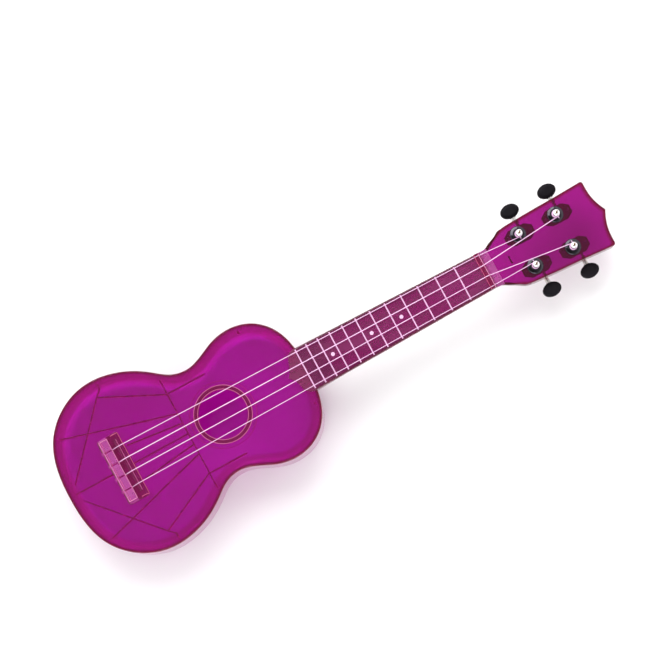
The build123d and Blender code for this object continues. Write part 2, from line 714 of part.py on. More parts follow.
def screw_blank(head_r, head_h, shank_r, shank_len, seat_z, y=0.0):
    """Screw with a rounded head below seat_z and its shank above."""
    head = cyl(head_r, seat_z - head_h, seat_z, 0, y)
    head = head.fillet(0.7, [head.edges().sort_by(Axis.Z)[0]])
    return head.fuse(cyl(shank_r, seat_z, seat_z + shank_len, 0, y))


def plate_screw(y):
    """Cross-recessed screw through the tuner plate."""
    head_h = 1.3
    screw = screw_blank(head_r=2.1, head_h=head_h, shank_r=1.1, shank_len=6.4,
                        seat_z=PLATE_FACE_Z, y=y)
    for width, length in ((2.2, 0.5), (0.5, 2.2)):
        screw = screw - Pos(0, y, PLATE_FACE_Z - head_h) * Box(width, length, 1.1)
    return one(screw)


def gear_screw():
    """Slotted screw into the end of the post spigot."""
    head_h = 1.6
    screw = screw_blank(head_r=2.6, head_h=head_h, shank_r=0.96, shank_len=4.4,
                        seat_z=SPIGOT_END_Z)
    return one(screw - Pos(0, 0, SPIGOT_END_Z - head_h) * Box(5.6, 0.7, 1.4))


def bushing():
    flange = cyl(7.3, 0, 1.5)
    flange = flange.fillet(1.1, [flange.edges().sort_by(Axis.Z)[-1]])
    flange = flange.fuse(cyl(4.6, 0, 2.2))
    sleeve = cyl(4.4, -7.8, 0)
    return one(flange.fuse(sleeve) - Cylinder(POST_R + RUN_GAP, 40))


def post(string):
    # (radius, z), from the top down
    profile = [(0, POST_TOP_Z), (POST_R - 0.5, POST_TOP_Z), (POST_R, POST_TOP_Z - 0.5),
               (POST_R, 7.2), (POST_WAIST_R, 6.6), (POST_WAIST_R, 2.6), (POST_R, 2.3),
               (POST_R, SPIGOT_TOP_Z), (0, SPIGOT_TOP_Z)]
    body = Solid.revolve(polygon([(x, 0, z) for x, z in profile]), 360, Axis.Z)
    body = body.fuse(Pos(0, 0, (SPIGOT_TOP_Z + SPIGOT_END_Z) / 2) * Box(
        POST_SQUARE, POST_SQUARE, SPIGOT_TOP_Z - SPIGOT_END_Z))
    body = body - Pos(0, 0, SPIGOT_END_Z + 2.5) * Cylinder(1.0, 5.4)
    hole_z = COIL_BASE_Z + coil_pitch(string) * COIL_TURNS
    hole_turn = Rot(0, 0, math.degrees(contact_angle(string)))
    body = body - Pos(0, 0, hole_z) * hole_turn * Rot(0, 90, 0) * Cylinder(STRING_HOLE_R, 12)
    return one(body)


def string_coil(string):
    radius, wound_r, pitch = string.radius, coil_radius(string), coil_pitch(string)
    helix = Helix(pitch, pitch * (COIL_TURNS - 1), wound_r, lefthand=(string.side > 0))
    profile = Wire.make_circle(radius, Plane(origin=helix @ 0, z_dir=helix % 0))
    coil = Solid.sweep(profile, path=helix, is_frenet=True)
    # the end bends in through the post hole and sticks out beyond it
    end = helix @ 1
    inward = Vector(-end.X, -end.Y, 0).normalized()
    start = end - inward * (0.35 * radius) - (helix % 1) * (0.3 * radius)
    tail = Solid.make_cylinder(0.93 * radius, wound_r + POST_WAIST_R + 2.6,
                               Plane(origin=start, z_dir=inward))
    coil = coil.fuse(tail)
    coil = Rot(0, 0, math.degrees(contact_angle(string))) * coil
    return one(coil.moved(Pos(0, 0, COIL_BASE_Z + pitch)))


def button(inner_x):
    """Oval knob with its inner end at inner_x, on the worm shaft axis."""
    knob = extrude(Ellipse(BUTTON_WIDE / 2, BUTTON_LEN / 2), BUTTON_THICK)
    knob = knob.moved(Pos(0, 0, -BUTTON_THICK / 2))
    knob = knob.fillet(BUTTON_EDGE_R, knob.edges())
    knob = knob.moved(Pos(inner_x + BUTTON_WIDE / 2, CENTRE_DIST, SHAFT_Z))
    knob = knob.fuse(Pos(inner_x + 1.2, CENTRE_DIST, SHAFT_Z) * Rot(0, 90, 0)
                     * Cylinder(2.9, 2.4))
    socket = SHAFT_SQUARE + SQUARE_GAP
    return one(knob - Pos(inner_x + 3.5, CENTRE_DIST, SHAFT_Z) * Box(7.2, socket, socket))


def save_tuners():
    shared = {"tuner_plate": tuner_plate(), "bushing": bushing(), "gear": gear(),
              "gear_screw": gear_screw()}
    screws = [plate_screw(y) for y in PLATE_SCREW_Y]
    worm_body = worm()
    turn_over = (Pos(0, CENTRE_DIST, SHAFT_Z) * Rot(0, 180, 0)
                 * Pos(0, -CENTRE_DIST, -SHAFT_Z))
    for name, string in STRINGS.items():
        base = HEAD_PLACE * Pos(string.post_x, string.post_y, 0)
        for part, shape in shared.items():
            save(base * shape, f"{part}_{name}")
        save(Compound([base * screw for screw in screws]), f"plate_screws_{name}")
        save(base * post(string), f"post_{name}")
        save(base * string_coil(string), f"string_coil_{name}")
        button_x = string.button_reach - BUTTON_WIDE / 2 - abs(string.post_x)
        shaft = worm_shaft(worm_body, button_x)
        knob = button(button_x)
        if string.side < 0:
            shaft = turn_over * shaft
            knob = turn_over * knob
        save(base * shaft, f"worm_shaft_{name}")
        save(base * knob, f"button_{name}")


for make in (back_bowl, soundboard, neck, fretboard, position_dots, frets,
             nut, bridge, saddle):
    save(make(), make.__name__)
for name, string in STRINGS.items():
    save(string_run(string), f"string_{name}")
save_tuners()
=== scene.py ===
"""A four-string instrument (g, c, e, a) in tinted clear plastic, lying face up.

The neck runs along +Y and the soundboard faces +Z. The head tilts down from its
pivot, with a tuner post for each string and the tuner buttons out along -X and +X.
Blender units are metres. Most sizes here are in millimetres, turned by MM.
"""
import math
from functools import partial

import bmesh
import bpy
from mathutils import Matrix, Vector
from mathutils.kdtree import KDTree


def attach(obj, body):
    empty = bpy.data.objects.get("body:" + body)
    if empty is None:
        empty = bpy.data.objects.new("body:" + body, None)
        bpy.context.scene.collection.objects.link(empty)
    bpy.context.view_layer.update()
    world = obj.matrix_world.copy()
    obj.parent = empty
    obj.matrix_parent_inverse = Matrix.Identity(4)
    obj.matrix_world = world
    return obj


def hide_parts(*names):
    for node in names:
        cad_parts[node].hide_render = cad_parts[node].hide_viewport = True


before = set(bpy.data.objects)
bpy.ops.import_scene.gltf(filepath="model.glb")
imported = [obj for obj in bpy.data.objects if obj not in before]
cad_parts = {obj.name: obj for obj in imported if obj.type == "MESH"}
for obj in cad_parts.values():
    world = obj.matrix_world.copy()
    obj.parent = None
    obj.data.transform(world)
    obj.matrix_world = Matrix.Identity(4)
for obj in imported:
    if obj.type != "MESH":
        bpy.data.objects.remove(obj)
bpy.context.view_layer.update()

MM = 0.001
ROOT = "instrument"
GAP = 0.025 * MM                  # how far most pieces are pulled in from their neighbours
FINE = 4 * MM                     # longest edge on pieces that carry a painted distance

# Body, mm
HOLE = Vector((0.0, 33.9)) * MM   # centre of the sound hole
EDGE_Z = (58.0, 59.2)             # heights between which the soundboard's outer edge lies
RIM_UNDER = 57.75                 # below this is the underside of the soundboard
UNDER_RING_R = 29.1               # ring under the soundboard, round the hole
RING_Z = 60.85                    # top of the rosette ring
NUT_Z = 66.4                      # top of the nut

# Neck, mm: its half width grows from the nut towards the body
NUT_Y, NUT_HALF = 287.75, 17.0
TAPER_LENGTH, TAPER_HALF = 346.1 / 2, 20.3

# Head, mm: "along" is measured down the head from its pivot, "above" out of its face
PIVOT_Y, PIVOT_Z = 294.0, 60.0
TILT = math.radians(10.0)
HEAD_N = Vector((0, math.sin(TILT), math.cos(TILT)))
HEAD_S = Vector((0, math.cos(TILT), -math.sin(TILT)))
HEAD_THICK = 12.0
FLARE_END, FLARE_LENGTH = 25.3, 25.4
FLARE_HALF, FLARE_POWER = 26.55, 1.25

# Tuners, mm: post x, post along, button x (either side of the centre line)
TUNERS = {
    "g": (-15.5, 37.0, 38.5),
    "c": (-16.0, 74.0, 39.3),
    "e": (16.0, 74.0, 39.3),
    "a": (15.5, 37.0, 38.5),
}


# ------------------------------------------------------------------ meshes
def cad_mesh(node):
    """Welded vertices of a CAD node, and its faces as lists of (vertex, normal) corners."""
    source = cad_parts[node]
    mesh, matrix = source.data, source.matrix_world
    rotation = matrix.to_3x3()
    per_metre = 1e7               # vertices in the same 0.1 micron cell are welded
    welded, verts, indices = {}, [], []
    for vertex in mesh.vertices:
        place = matrix @ vertex.co
        key = tuple(round(value * per_metre) for value in place)
        if key not in welded:
            welded[key] = len(verts)
            verts.append(place)
        indices.append(welded[key])
    normals = [Vector(corner.vector) for corner in mesh.corner_normals]
    faces = []
    for poly in mesh.polygons:
        corners = [(indices[mesh.loops[i].vertex_index], (rotation @ normals[i]).normalized())
                   for i in poly.loop_indices]
        if len({vertex for vertex, _ in corners}) > 2:
            faces.append(corners)
    return verts, faces


def split_triangle(corners, middles):
    """Cut a triangle at the middles of its edges; None marks an edge left whole."""
    whole = [i for i in range(3) if middles[i] is None]
    if len(whole) == 3:
        return [corners]
    if not whole:
        first = 0
    elif len(whole) == 1:
        first = whole[0]
    else:
        first = ({0, 1, 2} - set(whole)).pop()
    a, b, c = corners[first:] + corners[:first]
    ab, bc, ca = middles[first:] + middles[:first]
    if not whole:
        return [[a, ab, ca], [b, bc, ab], [c, ca, bc], [ab, bc, ca]]
    if len(whole) == 1:
        return [[c, ca, bc], [ca, a, bc], [a, b, bc]]
    return [[a, ab, c], [ab, b, c]]


def refine(verts, faces, longest):
    """Halve every edge over the longest length until none is left; adds to verts."""
    def middle(start, end):
        (a, normal_a), (b, normal_b) = start, end
        edge = (min(a, b), max(a, b))
        if edge not in middles:
            middles[edge] = None
            if (verts[a] - verts[b]).length > longest:
                middles[edge] = len(verts)
                verts.append((verts[a] + verts[b]) / 2)
        if middles[edge] is None:
            return None
        return middles[edge], (normal_a + normal_b).normalized()

    while True:
        middles, finer = {}, []
        for corners in faces:
            cuts = [middle(corners[i], corners[(i + 1) % 3]) for i in range(3)]
            finer += split_triangle(corners, cuts)
        if len(finer) == len(faces):
            return finer
        faces = finer


def pull_in(mesh, distance):
    """Move each vertex in by the same distance from each face it touches."""
    touching = {}
    for poly in mesh.polygons:
        normal = Vector(poly.normal)
        for index in poly.vertices:
            normals = touching.setdefault(index, [])
            if all((normal - other).length > 0.05 for other in normals):
                normals.append(normal)
    for index, normals in touching.items():
        total = sum(normals, Vector())
        if total.length < 1e-6:
            continue
        outward = total.normalized()
        # the floor on the cosine keeps sharp corners from moving too far
        cosine = max(0.35, min(abs(outward.dot(normal)) for normal in normals))
        mesh.vertices[index].co -= outward * (distance / cosine)


def add_object(name, data):
    piece = bpy.data.objects.new(name, data)
    bpy.context.scene.collection.objects.link(piece)
    return piece


def copy(node, shrink=0.0, keep_normals=True, longest=0.0, warp=None):
    """A smooth visual copy of a CAD node; warp bends its shading normals."""
    verts, faces = cad_mesh(node)
    if longest and all(len(corners) == 3 for corners in faces):
        faces = refine(verts, faces, longest)
    mesh = bpy.data.meshes.new(f"vis_{node}")
    mesh.from_pydata([tuple(v) for v in verts], [], [[v for v, _ in f] for f in faces])
    mesh.update()
    if shrink:
        pull_in(mesh, shrink)
    for poly in mesh.polygons:
        poly.use_smooth = True
    if keep_normals:
        mesh.normals_split_custom_set([
            tuple(warp(verts[v], normal) if warp else normal) for f in faces for v, normal in f])
    return add_object(f"vis_{node}", mesh)


def bevel(piece, width, segments=2, material=-1):
    """Round the edges; material is the slot for the rounded strip, -1 for none of its own."""
    edge = piece.modifiers.new("edge", "BEVEL")
    edge.width = width * MM
    edge.segments = segments
    edge.limit_method = "ANGLE"
    edge.angle_limit = math.radians(30)
    edge.harden_normals = True
    edge.use_clamp_overlap = True
    edge.material = material
    return piece


def paint(piece, name, value_at):
    """A number on every vertex, for the materials to read."""
    attribute = piece.data.attributes.new(name, "FLOAT", "POINT")
    attribute.data.foreach_set("value", [float(value_at(v.co)) for v in piece.data.vertices])
    return piece


def assign(piece, names, pick=lambda centre, normal: 0):
    """Several materials on one piece; pick gives the slot for a face."""
    for name in names:
        piece.data.materials.append(MATERIALS[name])
    for poly in piece.data.polygons:
        poly.material_index = pick(poly.center, poly.normal)
    return piece


def finish(piece, node=None, material=None, body=ROOT):
    """Give a piece its material and its moving body, and hide the node it replaces."""
    if material:
        piece.data.materials.append(MATERIALS[material])
    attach(piece, body)
    if node:
        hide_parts(node)


def spun(name, profile, origin, axis, steps=48):
    """A solid of revolution; profile is (radius, height along the axis) in metres.

    A profile that starts off the axis is closed back to its start.
    """
    on_axis = 1e-7
    across = axis.orthogonal().normalized()
    third = axis.cross(across)
    bm = bmesh.new()
    rings = []
    for radius, height in profile:
        centre = origin + axis * height
        if radius < on_axis:
            rings.append([bm.verts.new(centre)])
            continue
        angles = (2 * math.pi * i / steps for i in range(steps))
        rings.append([bm.verts.new(centre + (across * math.cos(t) + third * math.sin(t)) * radius)
                      for t in angles])
    closing = [rings[0]] if profile[0][0] > on_axis else []
    for ring, following in zip(rings, rings[1:] + closing):
        for i in range(steps):
            j = (i + 1) % steps
            corners = (ring[i % len(ring)], ring[j % len(ring)],
                       following[j % len(following)], following[i % len(following)])
            distinct = list(dict.fromkeys(corners))
            if len(distinct) > 2:
                bm.faces.new(distinct)
    bmesh.ops.recalc_face_normals(bm, faces=bm.faces)
    mesh = bpy.data.meshes.new(name)
    bm.to_mesh(mesh)
    bm.free()
    for poly in mesh.polygons:
        poly.use_smooth = True
    mesh.set_sharp_from_angle(angle=math.radians(35))
    return add_object(name, mesh)


def dished_disc(name, origin, axis, radius, height):
    profile = [(0.0, 0.2 * height), (0.7 * radius, 0.35 * height), (0.92 * radius, height),
               (radius, 0.6 * height), (radius, -height), (0.0, -height)]
    return spun(name, profile, origin, axis)


def tube(name, start, end, inner, outer, ease=0.3 * MM):
    """A sleeve whose outer edges are eased at both ends."""
    run = end - start
    length = run.length
    profile = [(inner, 0), (outer - ease, 0), (outer, ease), (outer, length - ease),
               (outer - ease, length), (inner, length)]
    return spun(name, profile, start, run.normalized())


def rod(name, start, end, radius):
    """A thin rod with chamfered ends."""
    run = end - start
    length = run.length
    profile = [(0.0, 0.0), (0.7 * radius, 0.0), (radius, 0.3 * radius),
               (radius, length - 0.3 * radius), (0.7 * radius, length), (0.0, length)]
    return spun(name, profile, start, run.normalized(), steps=16)


# ------------------------------------------------------------ shader nodes
def wire(tree, node, inputs):
    """Set a node's inputs: sockets are linked, anything else is a value."""
    for key, value in inputs.items():
        if isinstance(value, bpy.types.NodeSocket):
            tree.links.new(value, node.inputs[key])
        else:
            node.inputs[key].default_value = value


def add_node(tree, kind, inputs=None, **settings):
    node = tree.nodes.new(f"ShaderNode{kind}")
    for key, value in settings.items():
        setattr(node, key, value)
    wire(tree, node, inputs or {})
    return node


def noise(tree, coords, scale, detail, roughness=0.5, stretch=None):
    if stretch:
        coords = add_node(tree, "Mapping", {"Scale": stretch, "Vector": coords}).outputs[0]
    inputs = {"Scale": scale, "Detail": detail, "Roughness": roughness, "Vector": coords}
    return add_node(tree, "TexNoise", inputs).outputs["Fac"]


def ramp(tree, source, stops):
    """Colour ramp; stops are (position, colour or grey level)."""
    node = add_node(tree, "ValToRGB", {0: source})
    elements = node.color_ramp.elements
    while len(elements) < len(stops):
        elements.new(0.5)
    for element, (position, color) in zip(elements, stops):
        element.position = position
        element.color = (*color, 1.0) if isinstance(color, tuple) else (color, color, color, 1.0)
    return node.outputs[0]


def multiply(tree, first, second):
    node = add_node(tree, "Mix", {"Factor": 1.0, "A": first, "B": second},
                    data_type="RGBA", blend_type="MULTIPLY")
    return node.outputs["Result"]


def bump(tree, height, strength, distance):
    inputs = {"Strength": strength, "Distance": distance * MM, "Height": height}
    return add_node(tree, "Bump", inputs).outputs[0]


def new_material(name):
    """An empty material: its tree, principled shader, output and object coordinates."""
    material = bpy.data.materials.new(name)
    material.use_nodes = True
    tree = material.node_tree
    tree.nodes.clear()
    output = add_node(tree, "OutputMaterial")
    shader = add_node(tree, "BsdfPrincipled")
    wire(tree, output, {"Surface": shader.outputs[0]})
    coords = add_node(tree, "TexCoord").outputs["Object"]
    return material, tree, shader, output, coords


def tinted(name, low, high, transmission, roughness, absorb, density, edge=None, specular=0.5,
           ember=0.022):
    """Moulded tinted plastic: cloudy colour, flow marks, fine wear, absorption, a painted glow.

    edge is (attribute, stops): stops tint the colour by that distance in mm, to paint shade along
    edges and highlights on the rosette.
    """
    material, tree, shader, output, coords = new_material(name)
    cloud = noise(tree, coords, scale=14.0, detail=2.0)
    color = ramp(tree, cloud, [(0.3, low), (0.7, high)])
    if edge:
        attribute, stops = edge
        span = 20.0               # mm covered by the whole ramp
        distance = add_node(tree, "Attribute", attribute_name=attribute).outputs["Fac"]
        share = add_node(tree, "Math", {0: distance, 1: span}, operation="DIVIDE").outputs[0]
        tint = ramp(tree, share, [(at / span, shade) for at, shade in stops])
        color = multiply(tree, color, tint)
    wear = noise(tree, coords, scale=90.0, detail=5.0, roughness=0.65, stretch=(1.0, 0.25, 1.0))
    flow = noise(tree, coords, scale=30.0, detail=3.0, stretch=(1.0, 0.3, 1.0))
    wire(tree, shader, {
        "Base Color": color,
        "Specular IOR Level": specular,
        # painted glow: a faint red emission on every face, standing in for the red the dye shows
        # wherever no light comes through
        "Emission Color": (1.0, 0.03, 0.14, 1.0),
        "Emission Strength": ember,
        "Roughness": ramp(tree, wear, [(0.35, roughness), (0.75, roughness * 2.0 + 0.02)]),
        "IOR": 1.45,
        "Transmission Weight": transmission,
        "Coat Roughness": 0.04,
        "Normal": bump(tree, flow, strength=0.35, distance=0.004),
    })
    volume = add_node(tree, "VolumeAbsorption", {"Color": (*absorb, 1.0), "Density": density})
    wire(tree, output, {"Volume": volume.outputs[0]})
    return material


def grained(name, low, high, rough, mottle, grain, strength, distance, inputs):
    """An opaque surface: mottle varies its colour, grain its roughness and relief."""
    material, tree, shader, _, coords = new_material(name)
    color = ramp(tree, noise(tree, coords, **mottle), [(0.3, low), (0.7, high)])
    fine = noise(tree, coords, **grain)
    wire(tree, shader, inputs | {
        "Base Color": color,
        "Roughness": ramp(tree, fine, [(0.3, rough[0]), (0.7, rough[1])]),
        "Normal": bump(tree, fine, strength, distance),
    })
    return material


def metal(name, low, high, rough, scale, stretch=None):
    return grained(name, low, high, rough,
                   mottle=dict(scale=scale, detail=4.0, roughness=0.6, stretch=stretch),
                   grain=dict(scale=scale * 1.7, detail=5.0, roughness=0.6, stretch=stretch),
                   strength=0.15, distance=0.02, inputs={"Metallic": 1.0})


def plastic(name, low, high, rough, scale=900.0, relief=0.25, transmission=0.0, coat=0.0,
            specular=0.5):
    return grained(name, low, high, rough,
                   mottle=dict(scale=scale * 0.12, detail=3.0),
                   grain=dict(scale=scale, detail=4.0, roughness=0.6),
                   strength=relief, distance=0.03,
                   inputs={"Specular IOR Level": specular, "Transmission Weight": transmission,
                           "Coat Weight": coat, "IOR": 1.5})


# --------------------------------------------------------------- materials
VOLUME_NECK = (0.72, 0.08, 0.58)
body = partial(tinted, absorb=(0.80, 0.10, 0.86), density=85.0)
trim = partial(tinted, absorb=VOLUME_NECK, density=100.0)
line = partial(body, roughness=0.30)

# Tints by distance: mm from the edge, colour. They paint shade that darkens the plastic towards
# its edges; TOP_EDGE also starts with a dark line at the very edge.
WHITE = (1.0, 1.0, 1.0)
LINE = (0.70, 0.22, 0.24)
TOP_EDGE = [(0.0, LINE), (1.0, LINE), (1.8, (0.86, 0.70, 0.66)), (8.0, (0.90, 0.78, 0.72)),
            (11.0, WHITE)]
BOWL_EDGE = [(0.0, (0.66, 0.7, 0.48)), (5.0, (0.72, 0.72, 0.60)), (10.0, (0.93, 0.92, 0.90)),
             (16.0, WHITE)]
NECK_EDGE = [(0.0, (0.50, 0.70, 0.16)), (1.3, (0.52, 0.70, 0.17)), (2.6, WHITE)]
BOARD_EDGE = [(0.0, (0.70, 0.6, 0.40)), (1.2, (0.70, 0.65, 0.45)), (2.0, WHITE)]
# The rosette's rings: mm outside ROSE_START, colour. The pale bands are painted highlights on the
# hole's edge and the ring's outer edge; the dark band between is painted shade.
ROSE_START = 20.0
ROSETTE = [(1.3, (0.80, 0.20, 0.36)), (2.0, (0.80, 0.20, 0.36)), (2.25, (0.55, 0.022, 0.25)),
           (4.8, (0.55, 0.022, 0.25)), (5.05, (0.84, 0.24, 0.42)), (5.75, (0.84, 0.24, 0.42)),
           (6.0, (0.92, 0.14, 0.86)), (7.8, (0.92, 0.14, 0.86)), (8.4, (0.74, 0.06, 0.46))]

MATERIALS = {
    # body
    "top": body("top_plastic", low=(0.88, 0.085, 0.90), high=(0.92, 0.11, 0.95),
                transmission=0.965, roughness=0.03, edge=("rim", TOP_EDGE), specular=0.4),
    "bowl": body("body_plastic", low=(0.82, 0.024, 0.82), high=(0.87, 0.033, 0.88),
                 transmission=0.76, roughness=0.03, edge=("rim", BOWL_EDGE)),
    # ribs: the soundboard's own plastic, coloured dark red as painted shade for the dark lines
    # they show through the top
    "rib": body("rib_painted_shade", low=(0.60, 0.012, 0.12), high=(0.68, 0.016, 0.15),
                transmission=0.70, roughness=0.20, ember=0.045),
    "ring": body("ring_plastic", low=(0.95, 0.95, 0.95), high=WHITE,
                 transmission=0.84, roughness=0.14, edge=("rose", ROSETTE)),
    # thin lines along edges: painted highlights, and one painted shade line
    "glow_line": line("edge_line", low=(0.50, 0.075, 0.25), high=(0.57, 0.10, 0.31),
                      transmission=0.25, ember=0.05),
    "shade_line": line("ring_painted_shade_line", low=(0.42, 0.008, 0.12), high=(0.50, 0.011, 0.15),
                       transmission=0.30, ember=0.06),
    "glow": line("edge_light", low=(0.60, 0.19, 0.40), high=(0.66, 0.23, 0.47),
                 transmission=0.25, ember=0.06),
    "glow_dim": line("edge_light_dim", low=(0.50, 0.070, 0.18), high=(0.56, 0.090, 0.23),
                     transmission=0.25, ember=0.05),
    # neck, fretboard and bridge
    "neck": trim("neck_plastic", low=(0.39, 0.007, 0.325), high=(0.44, 0.011, 0.375),
                 transmission=0.965, roughness=0.04, edge=("rim", NECK_EDGE), specular=0.3,
                 ember=0.026),
    "board": trim("board_plastic", low=(0.37, 0.030, 0.245), high=(0.43, 0.040, 0.295),
                  transmission=0.85, roughness=0.18, edge=("rim", BOARD_EDGE), specular=0.35),
    # board_end and tail are the board's own plastic, coloured darker over the body and paler at
    # the head: painted shade and painted light
    "board_end": trim("board_end_plastic", low=(0.35, 0.045, 0.20), high=(0.40, 0.057, 0.24),
                      transmission=0.80, roughness=0.20),
    "tail": trim("tail_plastic", low=(0.62, 0.11, 0.50), high=(0.68, 0.13, 0.57),
                 transmission=0.74, roughness=0.20),
    # the sides of the tuner plates that face the head, dark red: painted shade, as they look
    # through the head with no light behind them
    "plate_shaded_face": plastic("plate_painted_shade", low=(0.16, 0.004, 0.008), high=(0.22, 0.008, 0.014),
                           rough=(0.5, 0.7), scale=800.0, specular=0.05),
    "bridge": trim("bridge_plastic", low=(0.35, 0.016, 0.20), high=(0.41, 0.022, 0.24),
                   transmission=0.80, roughness=0.06, ember=0.03),
    "block": trim("tie_block_plastic", low=(0.86, 0.13, 0.66), high=(0.92, 0.17, 0.74),
                  transmission=0.72, roughness=0.18),
    "nut": trim("nut_plastic", low=(0.44, 0.026, 0.18), high=(0.50, 0.034, 0.22),
                transmission=0.82, roughness=0.06),
    # fret crowns: pale, partly the frets' own pale finish and partly a painted highlight from
    # above, over tinted sides
    "fret": plastic("fret_crown", low=(0.62, 0.35, 0.57), high=(0.72, 0.43, 0.66),
                    rough=(0.12, 0.30), coat=0.3),
    "fret_side": trim("fret_side", low=(0.55, 0.10, 0.36), high=(0.62, 0.13, 0.42),
                      transmission=0.60, roughness=0.15, density=110.0),
    # strings where they run down into the bridge's slots: painted shade
    "string_shaded_in_slot": trim("string_in_slot_painted_shade", low=(0.80, 0.12, 0.66), high=(0.86, 0.15, 0.74),
                       transmission=0.80, roughness=0.12, density=60.0),
    "dot": plastic("dot_white", low=(0.70, 0.44, 0.64), high=(0.78, 0.52, 0.72),
                   rough=(0.25, 0.40)),
    "string": plastic("clear_nylon", low=(0.76, 0.44, 0.70), high=(0.85, 0.52, 0.79),
                      rough=(0.12, 0.24), scale=1200.0, relief=0.1, transmission=0.06, coat=0.3),
    # tuners
    "plate": metal("plate_metal", low=(0.085, 0.055, 0.055), high=(0.14, 0.09, 0.09),
                   rough=(0.26, 0.42), scale=500.0, stretch=(1.0, 0.12, 1.0)),
    "screw": metal("screw_metal", low=(0.20, 0.19, 0.20), high=(0.30, 0.28, 0.29),
                   rough=(0.25, 0.42), scale=900.0),
    "bushing": metal("bushing_metal", low=(0.040, 0.038, 0.046), high=(0.080, 0.074, 0.086),
                     rough=(0.05, 0.12), scale=500.0),
    "post": metal("post_metal", low=(0.78, 0.77, 0.78), high=(0.90, 0.89, 0.90),
                  rough=(0.10, 0.22), scale=700.0, stretch=(1.0, 1.0, 8.0)),
    # the dark of the string hole in a post's top: painted shade
    "painted_hole_shade": metal("post_hole_painted_shade", low=(0.10, 0.05, 0.02), high=(0.22, 0.12, 0.05),
                    rough=(0.30, 0.45), scale=1500.0),
    "sleeve": metal("sleeve_metal", low=(0.66, 0.58, 0.54), high=(0.80, 0.72, 0.68),
                    rough=(0.10, 0.22), scale=700.0, stretch=(8.0, 1.0, 1.0)),
    "gear": metal("gear_brass", low=(0.52, 0.36, 0.13), high=(0.66, 0.48, 0.19),
                  rough=(0.22, 0.38), scale=700.0),
    "shaft": metal("shaft_metal", low=(0.52, 0.50, 0.48), high=(0.64, 0.62, 0.60),
                   rough=(0.15, 0.30), scale=600.0, stretch=(8.0, 1.0, 1.0)),
    "button": plastic("button_plastic", low=(0.007, 0.006, 0.008), high=(0.012, 0.010, 0.013),
                      rough=(0.40, 0.58), scale=1400.0, relief=0.35, specular=0.05),
}


# ------------------------------------------------- distances from the edges
def edge_tree(node, on_edge, flatten, step):
    """Flattened points, a step or so apart, along the faces that on_edge accepts."""
    verts, faces = cad_mesh(node)
    points = []
    for corners in faces:
        places = [verts[vertex] for vertex, _ in corners]
        if not on_edge(sum(places, Vector()) / len(places), corners[0][1]):
            continue
        flat = [flatten(place) for place in places]
        for start, end in zip(flat, flat[1:] + flat[:1]):
            count = max(1, int((start - end).length / step))
            points += [start.lerp(end, i / count) for i in range(count + 1)]
    tree = KDTree(len(points))
    for i, point in enumerate(points):
        tree.insert((point.x, point.y, 0.0), i)
    tree.balance()
    return tree


def hole_distance(place):
    """Distance from the axis of the sound hole, in metres."""
    return (place.xy - HOLE).length


def on_body_edge(centre, normal):
    low, high = EDGE_Z
    return (abs(normal.z) <= 0.05 and low * MM < centre.z < high * MM
            and hole_distance(centre) >= 27 * MM)


BODY_EDGE = edge_tree("soundboard", on_body_edge, lambda place: place.xy, step=0.4 * MM)


def body_rim(place):
    return BODY_EDGE.find((place.x, place.y, 0.0))[2] / MM


def head_place(place):
    """Distance along the head from its pivot, and height above its face (mm)."""
    y, z = place.y / MM - PIVOT_Y, place.z / MM - PIVOT_Z
    return (y * math.cos(TILT) - z * math.sin(TILT),
            y * math.sin(TILT) + z * math.cos(TILT))


def head_at(x, along, above):
    """A point over the head, from mm."""
    pivot = Vector((x, PIVOT_Y, PIVOT_Z)) * MM
    return pivot + HEAD_S * (along * MM) + HEAD_N * (above * MM)


def on_head_edge(centre, normal):
    """True on the outer edge of the head, false in its holes and middle recess."""
    along, above = head_place(centre)
    if along < 26.4 or abs(normal.dot(HEAD_N)) > 0.05 or above > -0.01:
        return False
    x = centre.x / MM
    # offset from each post along the head, and clear radius squared
    for offset, clear in ((0.0, 25.0), (-7.9, 2.0), (13.4, 2.0)):
        for post_x, _, _ in TUNERS.values():
            for _, post_along, _ in TUNERS.values():
                if (x - post_x) ** 2 + (along - post_along - offset) ** 2 < clear:
                    return False
    return not (abs(x) < 5.0 and along < 55.0)


HEAD_EDGE = edge_tree("neck", on_head_edge,
                      lambda place: Vector((place.x / MM, head_place(place)[0])), step=0.3)


def taper_rim(place):
    """Distance in from the neck's tapering sides (mm)."""
    half = NUT_HALF + (TAPER_HALF - NUT_HALF) * (NUT_Y - place.y / MM) / TAPER_LENGTH
    return max(0.0, half - abs(place.x / MM))


def neck_rim(place):
    along, _ = head_place(place)
    if along > FLARE_END:
        return HEAD_EDGE.find((place.x / MM, along, 0.0))[2]
    if along > 0:
        half = NUT_HALF + (FLARE_HALF - NUT_HALF) * (along / FLARE_LENGTH) ** FLARE_POWER
        return max(0.0, half - abs(place.x / MM))
    return taper_rim(place)


# -------------------------------------------------------------------- body
def soundboard_slot(centre, normal):
    """0 top, 1 rib (painted shade), 2 rosette ring (painted highlights and shade)."""
    radius = hole_distance(centre)
    if centre.z < RIM_UNDER * MM:
        if radius < UNDER_RING_R * MM and centre.z > 56.0 * MM:
            return 0 if abs(normal.z) > 0.5 else 1
        return 0 if body_rim(centre) < 5.2 else 1
    return 2 if centre.z > 60.05 * MM or radius < 21.6 * MM else 0


def build_body():
    bowl = paint(copy("back_bowl", GAP, longest=FINE), "rim", body_rim)
    finish(bowl, "back_bowl", "bowl")
    top = paint(copy("soundboard", GAP, longest=FINE), "rim", body_rim)
    paint(top, "rose", lambda place: hole_distance(place) / MM - ROSE_START)
    finish(assign(top, ["top", "rib", "ring"], soundboard_slot), "soundboard")


